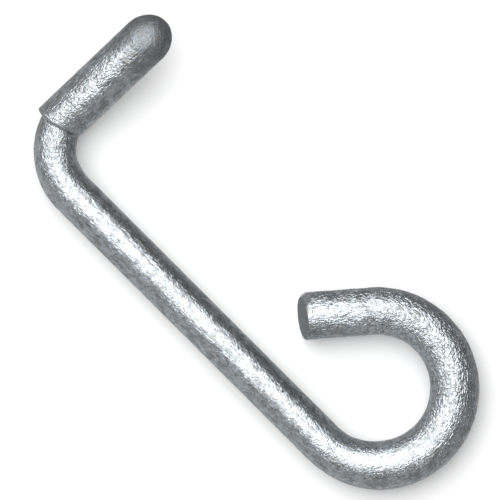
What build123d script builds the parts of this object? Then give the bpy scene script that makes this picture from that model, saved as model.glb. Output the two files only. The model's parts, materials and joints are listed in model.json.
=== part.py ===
"""Pigtail hook: one bar of round steel, bent to an open eye at one end and to a heavier arm at the other.

Units are millimetres. The origin is the centre of the eye, at the middle of the bar. The hook lies
flat: +Z is up, the shank runs from the eye towards -X, and the arm stands out towards +Y.
"""
from build123d import *
from math import cos, radians, sin
import os

# Thickness of the bar, which is drawn thinner along the shank than at its two ends
shank_dia = 11.85
eye_dia = 13.35
leg_dia = 12.9
neck_dia = 11.5      # where the bar meets the arm
arm_dia = 13.27

# The open eye and the straight leg that closes most of it
eye_radius = 20.6    # to the middle of the bar
eye_turn = 229.3     # degrees, from the shank round to the leg
leg_length = 18.4
swell_turn = 58.0    # degrees of the eye over which the bar thickens
ease_start = 130.0   # degrees of the eye at which it begins to thin again
ease_turn = 50.0

# The sheared end of the leg
shear_lean = 12.0    # degrees that the cut face leans back towards the top
shear_skew = 3.0     # degrees that it is out of square in the plane of the hook
rim_break = 0.25     # the small bevel round the cut face
corner_break = 1.3   # the corner knocked off the cut face, on the side away from the shank
corner_slope = 52.0  # degrees between that facet and the cut face

# The shank and the bend that leads to the arm
shank_length = 94.0
bend_radius = 16.2   # to the middle of the bar
bend_turn = 72.0     # degrees, from the shank to the arm's shoulder
root_turn = 6.0      # degrees that the bar carries on inside the arm

# The arm: a straight, round, blunt-nosed pin with a shoulder at its root
arm_length = 40.1    # from the middle of the shoulder to the tip
arm_heading = 88.0   # degrees from +X, seen from above
arm_rise = 15.0      # degrees out of the plane of the hook
arm_overhang = 0.65  # from the middle of the bar to the arm's axis, towards the outside of the bend
nose_length = 7.8
root_length = 4.0    # of the slightly tapered stretch above the shoulder
root_taper = 0.1     # that the arm loses in thickness over it
shoulder_skew = 15.5  # degrees that the shoulder is out of square, seen from above
shoulder_round = 0.5

loft_step = 9.5      # degrees between the sections of a bent stretch


def smooth(share):
    """Ease from 0 to 1 with no slope at either end."""
    share = min(max(share, 0.0), 1.0)
    return share * share * (3.0 - 2.0 * share)


def heading(angle, rise=0.0):
    """Unit direction at an angle from +X, rising out of the plane of the hook."""
    flat = cos(radians(rise))
    return Vector(flat * cos(radians(angle)), flat * sin(radians(angle)), sin(radians(rise)))


def eye_diameter(turn):
    """Thickness of the bar at a given turn round the eye."""
    thick = shank_dia + (eye_dia - shank_dia) * smooth(turn / swell_turn)
    return thick - (eye_dia - leg_dia) * smooth((turn - ease_start) / ease_turn)


def neck_diameter(turn):
    """Thickness of the bar at a given turn round the bend."""
    return shank_dia - (shank_dia - neck_dia) * smooth(turn / bend_turn)


def across(origin, direction):
    """Plane square to the bar, with its x axis always up, so that the sections don't twist."""
    return Plane(origin=origin, x_dir=(0, 0, 1), z_dir=direction)


# Where the bend and the arm stand
bend_start = Vector(-shank_length, -eye_radius, 0)
bend_centre = bend_start + Vector(0, bend_radius, 0)
neck_angle = -90.0 - bend_turn
neck = bend_centre + heading(neck_angle) * bend_radius
shoulder_heading = arm_heading + shoulder_skew
arm_foot = neck + heading(shoulder_heading + 90.0) * arm_overhang
arm_axis = heading(arm_heading, arm_rise)
arm_plane = Plane(origin=arm_foot, x_dir=arm_axis, z_dir=heading(arm_heading, arm_rise + 90.0))
shoulder_plane = Plane(
    origin=arm_foot,
    x_dir=heading(shoulder_heading - 90.0),
    z_dir=heading(shoulder_heading, arm_rise),
)

# Where the leg starts and ends
leg_angle = eye_turn - 90.0
leg_start = heading(leg_angle) * eye_radius
leg_heading = leg_angle + 90.0
leg_end = leg_start + heading(leg_heading) * leg_length
shear_plane = Plane(
    origin=leg_end,
    x_dir=heading(leg_heading + shear_skew - 90.0),
    z_dir=heading(leg_heading + shear_skew, shear_lean),
)
facet_normal = shear_plane.z_dir * cos(radians(corner_slope)) + shear_plane.x_dir * sin(radians(corner_slope))
corner_plane = Plane(
    origin=leg_end + shear_plane.x_dir * (leg_dia / 2 - corner_break),
    x_dir=shear_plane.y_dir,
    z_dir=facet_normal,
)

with BuildPart() as hook:
    # Arm: a round pin with an elliptical nose and a slightly tapered root, turned about its own axis
    nose_start = arm_length - nose_length
    root_radius = (arm_dia - root_taper) / 2
    with BuildSketch(arm_plane):
        with BuildLine():
            EllipticalCenterArc((nose_start, 0), nose_length, arm_dia / 2, arc_size=90)
            Polyline((nose_start, arm_dia / 2), (root_length, arm_dia / 2), (0, root_radius))
            Polyline((0, root_radius), (-arm_dia, root_radius), (-arm_dia, 0), (arm_length, 0))
        make_face()
    revolve(axis=Axis(arm_foot, arm_axis))

    # Shoulder: the arm's root is cut off out of square, and the rim is rounded over
    with BuildSketch(shoulder_plane):
        Circle(2 * arm_dia)
    extrude(amount=-3 * arm_dia, mode=Mode.SUBTRACT)
    fillet(edges(Select.NEW), shoulder_round)

    # Leg: straight, with a sheared end
    with BuildSketch(across(leg_start, heading(leg_heading))):
        Circle(leg_dia / 2)
    extrude(amount=leg_length + leg_dia / 2)
    with BuildSketch(shear_plane):
        Circle(leg_dia)
    extrude(amount=leg_dia, mode=Mode.SUBTRACT)
    chamfer(edges(Select.NEW), rim_break)
    with BuildSketch(corner_plane):
        Circle(leg_dia / 2)
    extrude(amount=leg_dia / 2, mode=Mode.SUBTRACT)

    # Eye: the bar swells out of the shank and eases down again to the leg
    eye_sections = round(eye_turn / loft_step)
    for step in range(eye_sections + 1):
        turn = eye_turn * step / eye_sections
        with BuildSketch(across(heading(turn - 90.0) * eye_radius, heading(turn))):
            Circle(eye_diameter(turn) / 2)
    loft()

    # Shank
    with BuildSketch(across(bend_start, (1, 0, 0))):
        Circle(shank_dia / 2)
    extrude(amount=shank_length)

    # Bend: thins a little towards the arm and runs on inside it
    buried_turn = bend_turn + root_turn
    bend_sections = round(buried_turn / loft_step)
    for step in range(bend_sections + 1):
        turn = buried_turn * step / bend_sections
        centre = bend_centre + heading(-90.0 - turn) * bend_radius
        with BuildSketch(across(centre, heading(180.0 - turn))):
            Circle(neck_diameter(turn) / 2)
    loft()

hook.part.label = "hook"
os.makedirs("parts", exist_ok=True)
export_step(hook.part, "parts/hook.step")
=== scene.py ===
"""Pigtail hook: the zinc-coated bar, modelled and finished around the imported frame.

The bar is one closed skin. A list of stations along it, each a ring on its own plane, is worked out
from the sizes below, and a Geometry Nodes tree lofts the rings, welds them and gives the skin the
lumps of a hot-dip zinc coat.
"""

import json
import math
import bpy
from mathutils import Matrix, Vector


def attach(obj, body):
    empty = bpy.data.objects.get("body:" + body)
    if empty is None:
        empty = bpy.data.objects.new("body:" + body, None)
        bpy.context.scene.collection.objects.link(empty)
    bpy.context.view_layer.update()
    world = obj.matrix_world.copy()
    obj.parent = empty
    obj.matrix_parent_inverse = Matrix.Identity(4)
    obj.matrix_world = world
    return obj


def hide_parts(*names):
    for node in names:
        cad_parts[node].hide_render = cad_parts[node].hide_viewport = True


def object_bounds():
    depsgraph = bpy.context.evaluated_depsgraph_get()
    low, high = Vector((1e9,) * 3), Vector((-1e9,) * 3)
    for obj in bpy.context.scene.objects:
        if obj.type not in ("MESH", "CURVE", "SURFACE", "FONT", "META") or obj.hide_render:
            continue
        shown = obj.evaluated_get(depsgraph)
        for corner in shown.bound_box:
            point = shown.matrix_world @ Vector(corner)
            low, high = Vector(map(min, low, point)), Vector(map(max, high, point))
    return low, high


bl_info = {
    "name": "Pigtail Hook",
    "version": (1, 0, 0),
    "blender": (4, 5, 0),
    "location": "3D View > Sidebar > Hook",
    "description": "Makes a galvanised pigtail hook and a plain studio around it",
    "category": "Add Mesh",
}

import bpy
from bpy.props import FloatProperty, FloatVectorProperty, IntProperty, PointerProperty
from mathutils import Matrix, Vector

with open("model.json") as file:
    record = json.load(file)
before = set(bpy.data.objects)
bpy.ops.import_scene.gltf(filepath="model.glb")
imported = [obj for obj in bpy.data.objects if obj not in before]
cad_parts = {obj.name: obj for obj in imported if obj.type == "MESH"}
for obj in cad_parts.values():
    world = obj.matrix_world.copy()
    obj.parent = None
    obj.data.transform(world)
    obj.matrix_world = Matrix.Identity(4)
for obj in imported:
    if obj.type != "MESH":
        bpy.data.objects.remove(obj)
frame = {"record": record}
cad_low, cad_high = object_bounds()

MM = 0.001
UP = Vector((0, 0, 1))
BODY = "root"
NODE = "hook"
ARM_MOUNT = next(m for m in frame["record"]["mounts"] if m["name"] == "arm")
ARM_RADIUS = ARM_MOUNT["dims"]["r_mm"] * MM

FACE_STEP = 1.6  # spacing of the rings on the cut face, in ring steps
CORNER_STEP = 0.5  # spacing of the rings over its rolled corner, in ring steps
CORNER_BULGE = 0.16  # how far that corner is from a flat facet towards a sharp edge
ARM_SQUARING = 2.2  # how soon the rings along the arm turn square to it
NOSE_ARC = 1.25  # length of the nose's curve, in nose lengths
COLLAR_RINGS = 5
RIM_RINGS = 4
FLOOR_GAP = 0.02 * MM
WELD_GAP = 2e-6
STREAK = 0.45  # how much the streaks are drawn out, on top of the grain's own stretch


# ---------------------------------------------------------------- settings


def length(name, description, value):
    """A length in metres, shown in the panel in the scene's own unit."""
    return FloatProperty(name=name, description=description, default=value, min=0.0,
                         precision=5, subtype="DISTANCE", unit="LENGTH")


def turn(name, description, degrees):
    """An angle, stored in radians."""
    return FloatProperty(name=name, description=description, default=math.radians(degrees),
                         subtype="ANGLE", unit="ROTATION")


def colour(name, description, value):
    """A linear colour without alpha."""
    return FloatVectorProperty(name=name, description=description, default=value, size=3,
                               min=0.0, max=1.0, subtype="COLOR")


def factor(name, description, value):
    """A share from 0 to 1."""
    return FloatProperty(name=name, description=description, default=value, min=0.0, max=1.0,
                         subtype="FACTOR")


class HookBarSettings(bpy.types.PropertyGroup):
    """Sizes of the bar, from the sheared end of the leg to the tip of the arm."""

    shank_radius: length("Shank Radius", "Half the thickness of the straight shank", 5.925 * MM)
    eye_bar_radius: length("Eye Bar Radius", "Half the bar's thickness round the eye", 6.675 * MM)
    leg_radius: length("Leg Radius", "Half the thickness of the leg", 6.45 * MM)
    neck_radius: length("Neck Radius", "Half the bar's thickness at the shoulder", 5.75 * MM)
    arm_radius: length("Arm Radius", "Half the thickness of the arm", ARM_RADIUS)
    root_taper: length("Root Taper", "Radius that the arm loses towards its root", 0.05 * MM)
    root_length: length("Root Length", "Length of the tapered root", 4.0 * MM)

    eye_radius: length("Eye Radius", "From the eye's centre to the middle of the bar", 20.6 * MM)
    eye_turn: turn("Eye Turn", "How far the bar goes round the eye", 229.3)
    swell_turn: turn("Swell Turn", "Part of the eye over which the bar thickens", 58.0)
    ease_start: turn("Ease Start", "Place on the eye where the bar begins to thin again", 130.0)
    ease_turn: turn("Ease Turn", "Part of the eye over which it thins", 50.0)

    leg_length: length("Leg Length", "From the eye to the sheared end", 18.4 * MM)
    shear_lean: turn("Shear Lean", "How far the cut face leans back", 12.0)
    shear_skew: turn("Shear Skew", "How far the cut face is out of square", 3.0)
    corner_break: length("Corner Break", "Width of the outer corner rolled over the cut", 1.3 * MM)
    corner_drop: length("Corner Drop", "Length of that rolled corner along the leg", 1.75 * MM)
    rim_break: length("Rim Break", "Bevel round the rest of the cut face", 0.25 * MM)

    shank_length: length("Shank Length", "Straight run between the eye and the bend", 94.0 * MM)
    bend_radius: length("Bend Radius", "Radius of the bend at the middle of the bar", 16.2 * MM)
    bend_turn: turn("Bend Turn", "From the shank to the shoulder", 72.0)

    arm_length: length("Arm Length", "From the shoulder to the tip", 40.1 * MM)
    arm_heading: turn("Arm Heading", "Direction of the arm seen from above", 88.0)
    arm_rise: turn("Arm Rise", "Angle of the arm out of the hook's plane", 15.0)
    arm_overhang: length("Arm Overhang", "From the bar's middle to the arm's axis", 0.65 * MM)
    nose_length: length("Nose Length", "Length of the blunt nose", 7.8 * MM)
    shoulder_skew: turn("Shoulder Skew", "How far the shoulder is out of square", 15.5)
    shoulder_round: length("Shoulder Round", "Rounding of the shoulder's rim", 0.45 * MM)
    collar_height: length("Collar Height", "Zinc gathered under the shoulder", 0.9 * MM)

    ring_step: length("Ring Step", "Distance between rings along the bar", 0.36 * MM)
    segments: IntProperty(name="Segments", description="Faces round the bar", default=120, min=12)


class HookZincSettings(bpy.types.PropertyGroup):
    """The zinc coat: its lumps, colours and gloss."""

    lump_height: length("Lump Height", "Depth of the coat's broad lumps", 0.12 * MM)
    lump_size: length("Lump Size", "Width of the broad lumps", 3.4 * MM)
    ripple_height: length("Ripple Height", "Depth of the coat's ripples", 0.11 * MM)
    ripple_size: length("Ripple Size", "Width of the ripples", 1.1 * MM)
    relief_least: factor("Relief Least", "Share of those depths where the coat is smooth", 0.40)
    seed: IntProperty(name="Seed", description="Which pattern of lumps is used", default=7)

    zinc_grey: colour("Zinc Grey", "Clean blue-grey zinc", (0.52, 0.56, 0.595))
    cool_oxide: colour("Cool Oxide", "Blue-grey weathered zinc", (0.30, 0.33, 0.355))
    warm_oxide: colour("Warm Oxide", "Khaki-grey weathered zinc", (0.335, 0.345, 0.33))
    # Painted shade: this grey also darkens the nose and the bend's end by the shoulder
    pit_and_painted_shade_grey: colour("Pit Grey", "Dark zinc in the pits", (0.10, 0.105, 0.115))
    grain_size: length("Grain Size", "Width of the coat's fine grain", 0.32 * MM)
    grain_height: length("Grain Height", "Depth of the fine grain", 0.11 * MM)
    dimple_size: length("Dimple Size", "Width of the hammered-looking dimples", 0.55 * MM)
    dimple_height: length("Dimple Height", "Depth of the dimples where the coat is coarse", 0.42 * MM)
    dimple_least: factor("Dimple Least", "Share of that depth where the coat is smooth", 0.34)
    grain_stretch: FloatProperty(name="Grain Stretch", description="How much the grain runs along the bar",
                                 default=1.6, min=1.0)
    clean_roughness: factor("Clean Roughness", "Roughness of the clean zinc", 0.12)
    oxide_roughness: factor("Oxide Roughness", "Roughness of the weathered zinc", 0.27)
    dull_roughness: factor("Dull Roughness", "Roughness of the cut face and the nose", 0.50)


class HookStudioSettings(bpy.types.PropertyGroup):
    """The floor, the lights and the camera."""

    floor_width: length("Floor Width", "Width and length of the floor", 8.0)
    floor_colour: colour("Floor Colour", "Colour of the plain floor", (0.92, 0.92, 0.92))
    room_bright: factor("Room Bright Side", "Brightness of the room at the lower left", 0.56)
    room_dark: factor("Room Dark Side", "Brightness of the room at the upper right", 0.22)
    room_under: factor("Room Underfoot", "How much brighter the room is below the hook", 0.45)
    box_radiance: FloatProperty(name="Softbox Brightness", default=2.7, min=0.0,
                                description="Brightness of the softbox's face")
    box_distance: length("Softbox Distance", "From the hook to the softbox", 1.0)
    box_half_angle: turn("Softbox Half Angle", "Half the softbox's width seen from the hook", 40.0)
    box_up: turn("Softbox Up", "Softbox tilt towards the top of the picture", 20.0)
    box_left: turn("Softbox Left", "Softbox tilt towards the left of the picture", 12.0)

    aim_x: FloatProperty(name="Aim X", description="Middle of the picture along the shank",
                         default=-50.05 * MM, precision=5, subtype="DISTANCE", unit="LENGTH")
    aim_y: FloatProperty(name="Aim Y", description="Middle of the picture across the shank",
                         default=2.07 * MM, precision=5, subtype="DISTANCE", unit="LENGTH")
    picture_turn: turn("Picture Turn", "Slope of the shank in the picture", 44.95)
    picture_width: length("Picture Width", "Width seen at the middle of the bar", 133.24 * MM)
    lens: FloatProperty(name="Lens", description="Focal length of the camera in millimetres",
                        default=600.0, min=1.0)


# ---------------------------------------------------------------- the stations


class Ring:
    """An ellipse in space: centre + cos(a) * across + sin(a) * upward, as a goes round.

    Along is how far it stands down the straightened bar, and its last vector says how matte the zinc is
    there and how much painted shade darkens it, whether the ring is on the sheared face, and how coarse
    the coat is.
    """

    def __init__(self, centre, across, upward):
        self.centre = centre
        self.across = across
        self.upward = upward
        self.along = Vector((0, 0, 0))
        self.finish = coat()

    def moved(self, offset):
        """The same ring somewhere else."""
        return Ring(self.centre + offset, self.across, self.upward)

    def __add__(self, other):
        return Ring(self.centre + other.centre, self.across + other.across,
                    self.upward + other.upward)

    def __sub__(self, other):
        return self + other * -1.0

    def __mul__(self, share):
        return Ring(self.centre * share, self.across * share, self.upward * share)


def heading(angle, rise=0.0):
    """Unit direction at an angle from +X, rising out of the hook's plane."""
    flat = math.cos(rise)
    return Vector((flat * math.cos(angle), flat * math.sin(angle), math.sin(rise)))


def smooth(share):
    """Ease from 0 to 1 with no slope at either end."""
    share = min(max(share, 0.0), 1.0)
    return share * share * (3.0 - 2.0 * share)


def coat(matte_and_painted_shade=0.0, sheared=0.0, coarse=0.0):
    """How a ring's zinc looks and how much painted shade darkens it, packed as the loft carries it."""
    return Vector((matte_and_painted_shade, sheared, coarse))


def mixed(first, second, share):
    """The ring a share of the way from the first to the second."""
    return first + (second - first) * share


def square_ring(centre, direction, radius):
    """A round ring square to a direction, with its first point to the left."""
    left = UP.cross(direction).normalized()
    return Ring(centre, left * radius, direction.cross(left) * radius)


def cut_ring(centre, direction, radius, normal):
    """Where a round bar meets a plane through its axis point: the same ring, sheared along the bar."""
    ring = square_ring(centre, direction, radius)
    slope = direction.dot(normal)
    across = ring.across - direction * (ring.across.dot(normal) / slope)
    upward = ring.upward - direction * (ring.upward.dot(normal) / slope)
    return Ring(centre, across, upward)


def steps(size, step):
    """Shares from just above 0 to 1, no further apart than a step."""
    count = max(1, math.ceil(size / step))
    return [(n + 1) / count for n in range(count)]


def rounded(start, corner, end, count):
    """Rings that round the corner between two rings, leaving one and reaching the other smoothly."""
    rings = []
    for n in range(1, count + 1):
        angle = math.pi / 2 * n / count
        from_start = (start - corner) * (1 - math.sin(angle))
        towards_end = (end - corner) * (1 - math.cos(angle))
        rings.append(corner + from_start + towards_end)
    return rings


def leg_rings(bar):
    """From the middle of the cut face out to its rim, over the rolled corner and along the leg."""
    angle = bar.eye_turn - math.pi / 2
    start = heading(angle) * bar.eye_radius
    outward = heading(angle + math.pi / 2)
    end = start + outward * bar.leg_length
    cut = heading(angle + math.pi / 2 + bar.shear_skew, bar.shear_lean)
    sheared = cut_ring(end, -outward, bar.leg_radius, cut)

    # The face is smaller than the bar and stands off its axis, away from the rolled corner
    side = heading(angle)
    inset = (bar.corner_break + bar.rim_break) / 2
    shift = (bar.corner_break - bar.rim_break) / 2
    rim = Ring(sheared.centre - side * shift, sheared.across * (1 - inset / bar.leg_radius),
               sheared.upward * (1 - bar.rim_break / bar.leg_radius))
    drop = (bar.corner_drop + bar.rim_break) / 2
    tilt = (bar.corner_drop - bar.rim_break) / 2
    side_sign = 1.0 if sheared.across.dot(side) > 0 else -1.0
    lip = Ring(sheared.centre - outward * drop, sheared.across - outward * (tilt * side_sign),
               sheared.upward)

    rings = [Ring(rim.centre, Vector(), Vector())]
    for share in steps(bar.leg_radius, FACE_STEP * bar.ring_step):
        rings.append(Ring(rim.centre, rim.across * share, rim.upward * share))
    for ring in rings:
        ring.finish = coat(sheared=1.0, coarse=0.3)

    # The rolled corner lies between a flat facet and a round one
    bulge = (sheared - mixed(rim, lip, 0.5)) * CORNER_BULGE
    for share in steps(bar.corner_drop, CORNER_STEP * bar.ring_step):
        hump = math.sin(math.pi * share)
        rings.append(mixed(rim, lip, share) + bulge * hump)

    first = rings[-1]
    last = square_ring(start, -outward, bar.leg_radius)
    for share in steps(bar.leg_length - drop, bar.ring_step):
        rings.append(mixed(first, last, share))
        rings[-1].finish = coat(coarse=1.0)
    return rings


def eye_rings(bar):
    """Round the eye, from the leg to the shank, swelling and easing on the way."""
    rings = []
    for share in steps(bar.eye_turn * bar.eye_radius, bar.ring_step):
        angle = bar.eye_turn * (1 - share)
        thick = bar.shank_radius
        thick += (bar.eye_bar_radius - bar.shank_radius) * smooth(angle / bar.swell_turn)
        thick -= (bar.eye_bar_radius - bar.leg_radius) * smooth((angle - bar.ease_start) / bar.ease_turn)
        centre = heading(angle - math.pi / 2) * bar.eye_radius
        rings.append(square_ring(centre, -heading(angle), thick))
        rings[-1].finish = coat(coarse=1 - 0.9 * smooth(1.4 * share - 0.4))
    return rings


def shank_rings(bar):
    """Straight from the eye to the bend."""
    start = Vector((0, -bar.eye_radius, 0))
    rings = []
    for share in steps(bar.shank_length, bar.ring_step):
        rings.append(square_ring(start - Vector((bar.shank_length * share, 0, 0)), Vector((-1, 0, 0)),
                                 bar.shank_radius))
    return rings


def bend_rings(bar, shoulder_normal):
    """Round the bend. The last rings lean over until they are flat against the shoulder."""
    centre = Vector((-bar.shank_length, bar.bend_radius - bar.eye_radius, 0))
    rings = []
    end_turn = bar.bend_turn - bar.collar_height / bar.bend_radius
    for share in steps(end_turn * bar.bend_radius, bar.ring_step):
        angle = end_turn * share
        thin = smooth(angle / bar.bend_turn)
        radius = bar.shank_radius - (bar.shank_radius - bar.neck_radius) * thin
        middle = centre + heading(-math.pi / 2 - angle) * bar.bend_radius
        direction = heading(math.pi - angle)
        square = square_ring(middle, direction, radius)
        leaning = cut_ring(middle, direction, radius, shoulder_normal)
        rings.append(mixed(square, leaning, smooth((share - 0.3) / 0.7)))
        # Painted shade: the base colour darkens a little towards the shoulder, where the bend's highlight
        # is dimmer; the zinc is also rougher there
        rings[-1].finish = coat(matte_and_painted_shade=0.3 * smooth(2 * share - 1), coarse=0.8 * smooth(share))
    return rings


def arm_rings(bar, foot, axis, shoulder_normal):
    """From the shoulder's rim along the arm and over its nose."""
    rings = []
    nose_start = bar.arm_length - bar.nose_length
    first = bar.shoulder_round
    for share in steps(nose_start - first, bar.ring_step):
        along = first + (nose_start - first) * share
        radius = bar.arm_radius - bar.root_taper * (1 - min(along / bar.root_length, 1.0))
        middle = foot + axis * along
        leaning = cut_ring(middle, axis, radius, shoulder_normal)
        square = square_ring(middle, axis, radius)
        rings.append(mixed(leaning, square, smooth(share * ARM_SQUARING)))
    quarter = math.pi / 2
    for share in steps(bar.nose_length * NOSE_ARC, bar.ring_step):
        along = nose_start + bar.nose_length * math.sin(quarter * share)
        rings.append(square_ring(foot + axis * along, axis, bar.arm_radius * math.cos(quarter * share)))
    for ring in rings:
        along = (ring.centre - foot).dot(axis) / bar.arm_length
        # Painted shade: past the middle of the arm the base colour darkens towards the nose, standing in
        # for the highlight that fades as the nose curves away; the zinc is also rougher there
        ring.finish = coat(matte_and_painted_shade=smooth((along - 0.5) / 0.38), coarse=0.4)
    return rings


def hook_rings(bar):
    """Every ring of the hook in order, from the cut face to the tip of the arm."""
    axis = heading(bar.arm_heading, bar.arm_rise)
    shoulder_angle = bar.arm_heading + bar.shoulder_skew
    normal = heading(shoulder_angle, bar.arm_rise)
    bend_centre = Vector((-bar.shank_length, bar.bend_radius - bar.eye_radius, 0))
    neck = bend_centre + heading(-math.pi / 2 - bar.bend_turn) * bar.bend_radius
    foot = neck + heading(shoulder_angle + math.pi / 2) * bar.arm_overhang

    rings = leg_rings(bar) + eye_rings(bar) + shank_rings(bar) + bend_rings(bar, normal)

    # The collar of zinc in the corner, the shoulder's face and its rounded rim
    root_radius = bar.arm_radius - bar.root_taper
    neck_ring = cut_ring(neck, heading(math.pi - bar.bend_turn), bar.neck_radius, normal)
    inner = cut_ring(foot, axis, root_radius - bar.shoulder_round, normal)
    ledge = mixed(neck_ring, inner, 0.6)
    rings += rounded(rings[-1], neck_ring, ledge, COLLAR_RINGS)
    rings.append(mixed(ledge, inner, 0.5))
    rings.append(inner)
    corner = cut_ring(foot, axis, root_radius, normal)
    outer = corner.moved(axis * bar.shoulder_round)
    rings += rounded(inner, corner, outer, RIM_RINGS)
    return rings + arm_rings(bar, foot, axis, normal)


STATION_LAYERS = ("across", "upward", "along", "finish")


def station_points(rings):
    """A mesh of bare points, one for each ring, that carries what the loft reads at each."""
    for before, ring in zip(rings, rings[1:]):
        change = ring - before
        run = change.centre.length + change.across.length
        ring.along = before.along + Vector((0, 0, run))
    mesh = bpy.data.meshes.new("hook_stations")
    mesh.from_pydata([ring.centre for ring in rings], [], [])
    for name in STATION_LAYERS:
        layer = mesh.attributes.new(name, "FLOAT_VECTOR", "POINT")
        layer.data.foreach_set("vector", [c for ring in rings for c in getattr(ring, name)])
    return mesh


# ---------------------------------------------------------------- node helpers


def add_node(tree, kind, values=None, **fields):
    """A node with its own fields set, and its inputs set from a dictionary of name or index to value."""
    node = tree.nodes.new(kind)
    for field, value in fields.items():
        setattr(node, field, value)
    for key, value in (values or {}).items():
        if isinstance(value, bpy.types.NodeSocket):
            tree.links.new(value, node.inputs[key])
        else:
            node.inputs[key].default_value = value
    return node


def maths(tree, operation, first, second=0.0, third=0.0):
    """The result of a Math node, in a shader or a geometry tree."""
    node = add_node(tree, "ShaderNodeMath", {0: first, 1: second, 2: third}, operation=operation)
    return node.outputs[0]


def vector_maths(tree, operation, first, second=None, scale=None):
    """The result of a Vector Math node."""
    values = {0: first}
    if second is not None:
        values[1] = second
    if scale is not None:
        values["Scale"] = scale
    return add_node(tree, "ShaderNodeVectorMath", values, operation=operation).outputs["Vector"]


def sample_row(tree, geometry, value, row):
    """A vector of the stations, read at a row."""
    node = add_node(tree, "GeometryNodeSampleIndex", data_type="FLOAT_VECTOR", domain="POINT")
    tree.links.new(geometry, node.inputs["Geometry"])
    tree.links.new(value, node.inputs["Value"])
    tree.links.new(row, node.inputs["Index"])
    return node.outputs[0]


def named_vector(tree, name):
    """A named vector attribute."""
    node = add_node(tree, "GeometryNodeInputNamedAttribute", {"Name": name}, data_type="FLOAT_VECTOR")
    return node.outputs["Attribute"]


# ---------------------------------------------------------------- the loft


LOFT_INPUTS = (
    ("Segments", "NodeSocketInt"),
    ("Lump Height", "NodeSocketFloat"),
    ("Lump Size", "NodeSocketFloat"),
    ("Ripple Height", "NodeSocketFloat"),
    ("Ripple Size", "NodeSocketFloat"),
    ("Relief Least", "NodeSocketFloat"),
    ("Seed", "NodeSocketInt"),
    ("Material", "NodeSocketMaterial"),
)


def relief(tree, size, height, seed, detail, distortion):
    """A height from 0 down to minus the given height, that swells and dips over a size."""
    scale = maths(tree, "DIVIDE", 1.0, size)
    noise = add_node(tree, "ShaderNodeTexNoise",
                     {"W": seed, "Scale": scale, "Detail": detail, "Roughness": 0.5,
                      "Distortion": distortion}, noise_dimensions="4D")
    spread = add_node(tree, "ShaderNodeMapRange",
                      {"Value": noise.outputs[0], "From Min": 0.25, "From Max": 0.75,
                       "To Min": -1.0, "To Max": 0.0})
    return maths(tree, "MULTIPLY", spread.outputs[0], height)


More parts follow.
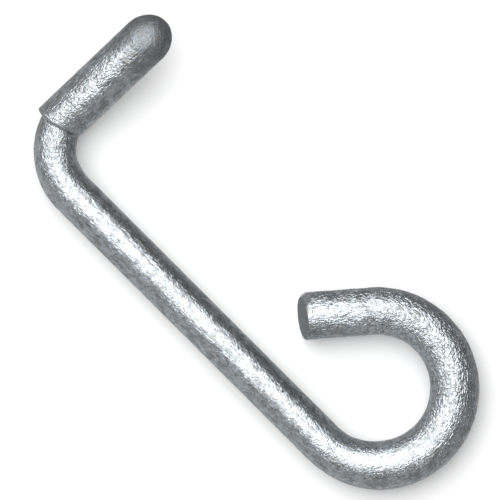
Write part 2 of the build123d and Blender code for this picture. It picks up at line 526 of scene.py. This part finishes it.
def loft_tree():
    """Lofts the stations' rings into one closed skin and gives it the zinc coat's relief."""
    tree = bpy.data.node_groups.new("Zinc Bar Loft", "GeometryNodeTree")
    tree.interface.new_socket("Geometry", in_out="INPUT", socket_type="NodeSocketGeometry")
    for name, kind in LOFT_INPUTS:
        tree.interface.new_socket(name, in_out="INPUT", socket_type=kind)
    tree.interface.new_socket("Geometry", in_out="OUTPUT", socket_type="NodeSocketGeometry")
    given = tree.nodes.new("NodeGroupInput").outputs
    stations = given["Geometry"]

    size = add_node(tree, "GeometryNodeAttributeDomainSize", {"Geometry": stations}, component="MESH")
    rows = size.outputs["Point Count"]
    columns = maths(tree, "ADD", given["Segments"], 1.0)
    grid = add_node(tree, "GeometryNodeMeshGrid",
                    {"Size X": 1.0, "Size Y": 1.0, "Vertices X": columns, "Vertices Y": rows})

    # Across the grid is round the bar, and up the grid is along it
    place = add_node(tree, "ShaderNodeSeparateXYZ",
                     {0: tree.nodes.new("GeometryNodeInputPosition").outputs[0]})
    angle = maths(tree, "MULTIPLY", place.outputs["X"], math.tau)
    last_row = maths(tree, "SUBTRACT", rows, 1.0)
    share = maths(tree, "ADD", place.outputs["Y"], 0.5)
    row = maths(tree, "ROUND", maths(tree, "MULTIPLY", share, last_row))
    centre = sample_row(tree, stations, tree.nodes.new("GeometryNodeInputPosition").outputs[0], row)
    across = sample_row(tree, stations, named_vector(tree, "across"), row)
    upward = sample_row(tree, stations, named_vector(tree, "upward"), row)
    sideways = vector_maths(tree, "SCALE", across, scale=maths(tree, "COSINE", angle))
    raised = vector_maths(tree, "SCALE", upward, scale=maths(tree, "SINE", angle))
    point = vector_maths(tree, "ADD", centre, vector_maths(tree, "ADD", sideways, raised))

    # Where each point would be if the bar were straight, for a grain that runs along it
    along = sample_row(tree, stations, named_vector(tree, "along"), row)
    radius = add_node(tree, "ShaderNodeVectorMath", {0: across}, operation="LENGTH").outputs["Value"]
    circle = add_node(tree, "ShaderNodeCombineXYZ",
                      {0: maths(tree, "MULTIPLY", maths(tree, "COSINE", angle), radius),
                       1: maths(tree, "MULTIPLY", maths(tree, "SINE", angle), radius)})
    straight = vector_maths(tree, "ADD", circle.outputs[0], along)
    finish = sample_row(tree, stations, named_vector(tree, "finish"), row)
    kept = grid.outputs["Mesh"]
    for name, value in (("straight", straight), ("finish", finish)):
        store = add_node(tree, "GeometryNodeStoreNamedAttribute",
                         {"Geometry": kept, "Name": name, "Value": value},
                         data_type="FLOAT_VECTOR", domain="POINT")
        kept = store.outputs[0]
    bent = add_node(tree, "GeometryNodeSetPosition", {"Geometry": kept, "Position": point})
    welded = add_node(tree, "GeometryNodeMergeByDistance",
                      {"Geometry": bent.outputs[0], "Distance": WELD_GAP})

    # Zinc relief, inwards from the true outline
    seed = given["Seed"]
    lumps = relief(tree, given["Lump Size"], given["Lump Height"], seed, 1.0, 0.3)
    ripples = relief(tree, given["Ripple Size"], given["Ripple Height"], seed, 1.5, 0.6)
    normal = tree.nodes.new("GeometryNodeInputNormal").outputs[0]
    coarse = add_node(tree, "ShaderNodeSeparateXYZ", {0: named_vector(tree, "finish")}).outputs["Z"]
    share = ramp(tree, coarse, 0.0, 1.0, given["Relief Least"], 1.0)
    depth = maths(tree, "MULTIPLY", maths(tree, "ADD", lumps, ripples), share)
    offset = vector_maths(tree, "SCALE", normal, scale=depth)
    coated = add_node(tree, "GeometryNodeSetPosition", {"Geometry": welded.outputs[0], "Offset": offset})

    smoothed = add_node(tree, "GeometryNodeSetShadeSmooth", {"Geometry": coated.outputs[0]})
    realised = add_node(tree, "GeometryNodeRealizeInstances", {"Geometry": smoothed.outputs[0]})
    painted = add_node(tree, "GeometryNodeSetMaterial",
                       {"Geometry": realised.outputs[0], "Material": given["Material"]})
    result = tree.nodes.new("NodeGroupOutput")
    tree.links.new(painted.outputs[0], result.inputs[0])
    return tree


def lofted(name, stations, values):
    """A plain mesh object made by the loft tree from the stations."""
    source = bpy.data.objects.new(name + "_source", stations)
    bpy.context.scene.collection.objects.link(source)
    tree = loft_tree()
    modifier = source.modifiers.new("Loft", "NODES")
    modifier.node_group = tree
    for item in tree.interface.items_tree:
        if item.in_out == "INPUT" and item.name in values:
            modifier[item.identifier] = values[item.name]
    depsgraph = bpy.context.evaluated_depsgraph_get()
    mesh = bpy.data.meshes.new_from_object(source.evaluated_get(depsgraph))
    mesh.name = name
    piece = bpy.data.objects.new(name, mesh)
    bpy.context.scene.collection.objects.link(piece)
    bpy.data.objects.remove(source)
    return piece


def face_outwards(mesh):
    """Turns the whole skin if its volume comes out negative."""
    volume = 0.0
    for face in mesh.polygons:
        corners = [mesh.vertices[i].co for i in face.vertices]
        for second, third in zip(corners[1:], corners[2:]):
            volume += corners[0].dot(second.cross(third))
    if volume < 0:
        mesh.flip_normals()


# ---------------------------------------------------------------- the zinc


def noise(tree, place, scale, detail=2.0, roughness=0.5, distortion=0.0):
    """The grey value of a Noise Texture."""
    node = add_node(tree, "ShaderNodeTexNoise",
                    {"Vector": place, "Scale": scale, "Detail": detail, "Roughness": roughness,
                     "Distortion": distortion})
    return node.outputs[0]


def ramp(tree, value, low, high, to_low=0.0, to_high=1.0):
    """A value spread from one range to another, and held at its ends."""
    node = add_node(tree, "ShaderNodeMapRange",
                    {"Value": value, "From Min": low, "From Max": high, "To Min": to_low,
                     "To Max": to_high})
    return node.outputs[0]


def blend_colour(tree, share, first, second):
    """Two colours mixed by a share."""
    node = add_node(tree, "ShaderNodeMix", data_type="RGBA")
    for socket, value in (("Factor_Float", share), ("A_Color", first), ("B_Color", second)):
        target = next(s for s in node.inputs if s.identifier == socket)
        if isinstance(value, bpy.types.NodeSocket):
            tree.links.new(value, target)
        else:
            target.default_value = value
    return next(s for s in node.outputs if s.identifier == "Result_Color")


def attribute(tree, name):
    """A vector that the loft left on the skin."""
    return add_node(tree, "ShaderNodeAttribute", attribute_name=name).outputs["Vector"]


def zinc_material(zinc):
    """Hot-dip zinc: clean metal broken up by oxide, with dark pit specks, dimples and a fine grain, and
    painted shade on the nose and the bend's end.
    """
    material = bpy.data.materials.new("hot_dip_zinc")
    material.use_nodes = True
    tree = material.node_tree
    tree.nodes.clear()
    place = tree.nodes.new("ShaderNodeTexCoord").outputs["Object"]
    straight = vector_maths(tree, "MULTIPLY", attribute(tree, "straight"),
                            (1.0, 1.0, 1.0 / zinc.grain_stretch))
    streaky = vector_maths(tree, "MULTIPLY", straight, (1.0, 1.0, STREAK))
    finish = add_node(tree, "ShaderNodeSeparateXYZ", {0: attribute(tree, "finish")})
    matte_and_painted_shade, sheared, coarse = finish.outputs["X"], finish.outputs["Y"], finish.outputs["Z"]
    # The cut face's own darker zinc together with the painted shade over the nose and the bend's end
    cut_face_and_painted_shade = maths(tree, "MAXIMUM", matte_and_painted_shade, sheared)
    grain_scale = 1.0 / zinc.grain_size

    # Oxide comes in small blotches with a broken edge
    speckle = noise(tree, straight, 0.5 / zinc.dimple_size, 3.0, 0.65, 0.8)
    blotches = noise(tree, place, grain_scale / 12, 2.0, 0.5, 0.4)
    mix = maths(tree, "MULTIPLY_ADD", blotches, 0.3, maths(tree, "MULTIPLY", speckle, 0.7))
    # The cut face and the painted shade lean a little towards the darker oxide
    mix = maths(tree, "MULTIPLY_ADD", cut_face_and_painted_shade, 0.08, mix)
    oxide = ramp(tree, mix, 0.44, 0.58)
    tint = ramp(tree, noise(tree, place, grain_scale / 6, 3.0, 0.6, 0.5), 0.45, 0.60)
    weathered = blend_colour(tree, tint, (*zinc.cool_oxide, 1.0), (*zinc.warm_oxide, 1.0))
    base = blend_colour(tree, oxide, (*zinc.zinc_grey, 1.0), weathered)

    # Pits are dark specks and the cut face is darker all over; the same darkening over the nose and the
    # bend's end by the shoulder is painted shade, standing in for their dimmer highlight
    pits_and_painted_shade = ramp(tree, noise(tree, streaky, 0.8 / zinc.dimple_size, 3.0, 0.65, 1.4), 0.56, 0.66)
    pits_and_painted_shade = maths(tree, "MAXIMUM", pits_and_painted_shade, maths(tree, "MULTIPLY", cut_face_and_painted_shade, 0.62))
    base = blend_colour(tree, maths(tree, "MULTIPLY", pits_and_painted_shade, 0.7), base, (*zinc.pit_and_painted_shade_grey, 1.0))
    rough = ramp(tree, oxide, 0.0, 1.0, zinc.clean_roughness, zinc.oxide_roughness)
    rough = maths(tree, "MAXIMUM", rough, maths(tree, "MULTIPLY", cut_face_and_painted_shade, zinc.dull_roughness))

    # Dimples everywhere, deeper and more drawn out where the coat is coarse, under a fine grain
    round_dimples = noise(tree, straight, 1.0 / zinc.dimple_size, 1.0, 0.35, 0.6)
    long_dimples = noise(tree, streaky, 1.0 / zinc.dimple_size, 1.0, 0.35, 1.0)
    depth = ramp(tree, coarse, 0.0, 1.0, zinc.dimple_least, 1.0)
    dimples = maths(tree, "MULTIPLY", maths(tree, "ADD", round_dimples, long_dimples), depth)
    fine = maths(tree, "MULTIPLY", noise(tree, straight, grain_scale, 1.0, 0.5), zinc.grain_height)
    height = maths(tree, "MULTIPLY_ADD", dimples, zinc.dimple_height / 2, fine)
    bump = add_node(tree, "ShaderNodeBump", {"Height": height, "Strength": 1.0, "Distance": 1.0})

    surface = add_node(tree, "ShaderNodeBsdfPrincipled",
                       {"Base Color": base, "Metallic": 1.0, "Roughness": rough,
                        "Specular Tint": (0.6, 0.6, 0.6, 1.0), "Normal": bump.outputs[0]})
    output = tree.nodes.new("ShaderNodeOutputMaterial")
    tree.links.new(surface.outputs[0], output.inputs["Surface"])
    return material


# ---------------------------------------------------------------- the operators


class HOOK_OT_bar(bpy.types.Operator):
    """Make the bent bar with its zinc coat"""

    bl_idname = "hook.bar"
    bl_label = "Make Bar"
    bl_options = {"REGISTER", "UNDO"}

    def execute(self, context):
        bar, zinc = context.scene.hook_bar, context.scene.hook_zinc
        material = zinc_material(zinc)
        values = {
            "Segments": bar.segments,
            "Lump Height": zinc.lump_height,
            "Lump Size": zinc.lump_size,
            "Ripple Height": zinc.ripple_height,
            "Ripple Size": zinc.ripple_size,
            "Relief Least": zinc.relief_least,
            "Seed": zinc.seed,
            "Material": material,
        }
        piece = lofted("hook_bar", station_points(hook_rings(bar)), values)
        face_outwards(piece.data)
        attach(piece, BODY)
        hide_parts(NODE)
        return {"FINISHED"}


def floor_material(studio):
    """Plain matt paper."""
    material = bpy.data.materials.new("studio_paper")
    material.use_nodes = True
    surface = material.node_tree.nodes["Principled BSDF"]
    surface.inputs["Base Color"].default_value = (*studio.floor_colour, 1.0)
    surface.inputs["Roughness"].default_value = 0.9
    surface.inputs["Specular IOR Level"].default_value = 0.1
    return material


def make_floor(studio):
    """A wide floor just under the hook."""
    half = studio.floor_width / 2
    height = cad_low.z - FLOOR_GAP
    mesh = bpy.data.meshes.new("floor")
    corners = [(-half, -half, height), (half, -half, height), (half, half, height), (-half, half, height)]
    mesh.from_pydata(corners, [], [(0, 1, 2, 3)])
    mesh.materials.append(floor_material(studio))
    floor = bpy.data.objects.new("floor", mesh)
    bpy.context.scene.collection.objects.link(floor)
    floor.visible_glossy = False


def picture_axes(studio):
    """The picture's right and up directions in the hook's plane."""
    right = Vector((math.cos(studio.picture_turn), math.sin(studio.picture_turn), 0))
    return right, UP.cross(right)


def make_softbox(studio, aim):
    """A round softbox over the hook, a little towards the picture's top and left."""
    right, top = picture_axes(studio)
    towards = (UP + top * math.tan(studio.box_up) - right * math.tan(studio.box_left)).normalized()
    radius = studio.box_distance * math.tan(studio.box_half_angle)
    light = bpy.data.lights.new("softbox", "AREA")
    light.shape = "DISK"
    light.size = 2 * radius
    light.energy = studio.box_radiance * math.pi * math.pi * radius ** 2
    box = bpy.data.objects.new("softbox", light)
    box.location = aim + towards * studio.box_distance
    box.rotation_euler = (-towards).to_track_quat("-Z", "Y").to_euler()
    box.visible_camera = False
    bpy.context.scene.collection.objects.link(box)


def make_room(studio):
    """A grey room, darker towards the picture's upper right and brighter underfoot."""
    right, top = picture_axes(studio)
    world = bpy.data.worlds.new("studio_room")
    world.use_nodes = True
    tree = world.node_tree
    direction = tree.nodes.new("ShaderNodeTexCoord").outputs["Generated"]
    across = add_node(tree, "ShaderNodeVectorMath", {0: direction, 1: (right + top).normalized()},
                      operation="DOT_PRODUCT").outputs["Value"]
    height = add_node(tree, "ShaderNodeSeparateXYZ", {0: direction}).outputs["Z"]
    grey = maths(tree, "ADD", ramp(tree, across, -1.0, 1.0, studio.room_bright, studio.room_dark),
                 ramp(tree, height, -0.8, -0.35, studio.room_under, 0.0))
    tree.links.new(grey, tree.nodes["Background"].inputs["Color"])
    bpy.context.scene.world = world


def make_camera(studio, aim):
    """A long lens straight above the hook, turned so that the shank runs down to the right."""
    right, top = picture_axes(studio)
    data = bpy.data.cameras.new("camera")
    data.lens = studio.lens
    distance = studio.picture_width * data.lens / data.sensor_width
    data.clip_start = distance / 100
    data.clip_end = distance * 10
    camera = bpy.data.objects.new("camera", data)
    turned = Matrix((right, top, UP)).transposed().to_4x4()
    camera.matrix_world = Matrix.Translation(aim + UP * distance) @ turned
    bpy.context.scene.collection.objects.link(camera)
    bpy.context.scene.camera = camera


class HOOK_OT_studio(bpy.types.Operator):
    """Set the plain floor, the soft light and the camera"""

    bl_idname = "hook.studio"
    bl_label = "Set Studio"
    bl_options = {"REGISTER", "UNDO"}

    def execute(self, context):
        studio = context.scene.hook_studio
        aim = Vector((studio.aim_x, studio.aim_y, 0))
        make_floor(studio)
        make_room(studio)
        make_softbox(studio, aim)
        make_camera(studio, aim)
        context.scene.view_settings.view_transform = "Standard"
        return {"FINISHED"}


class HOOK_PT_panel(bpy.types.Panel):
    """Lists the hook's settings and its operators"""

    bl_idname = "HOOK_PT_panel"
    bl_label = "Pigtail Hook"
    bl_space_type = "VIEW_3D"
    bl_region_type = "UI"
    bl_category = "Hook"

    def draw(self, context):
        layout = self.layout
        for settings, operator in (("hook_bar", HOOK_OT_bar), ("hook_zinc", None),
                                   ("hook_studio", HOOK_OT_studio)):
            group = getattr(context.scene, settings)
            column = layout.column(align=True)
            for name in group.__annotations__:
                column.prop(group, name)
            if operator:
                layout.operator(operator.bl_idname)


SETTINGS = {
    "hook_bar": HookBarSettings,
    "hook_zinc": HookZincSettings,
    "hook_studio": HookStudioSettings,
}
CLASSES = (*SETTINGS.values(), HOOK_OT_bar, HOOK_OT_studio, HOOK_PT_panel)


def register():
    for item in CLASSES:
        bpy.utils.register_class(item)
    for name, group in SETTINGS.items():
        setattr(bpy.types.Scene, name, PointerProperty(type=group))


def unregister():
    for name in SETTINGS:
        delattr(bpy.types.Scene, name)
    for item in reversed(CLASSES):
        bpy.utils.unregister_class(item)


def main():
    register()
    bpy.ops.hook.studio()
    bpy.ops.hook.bar()


if __name__ == "__main__":
    main()
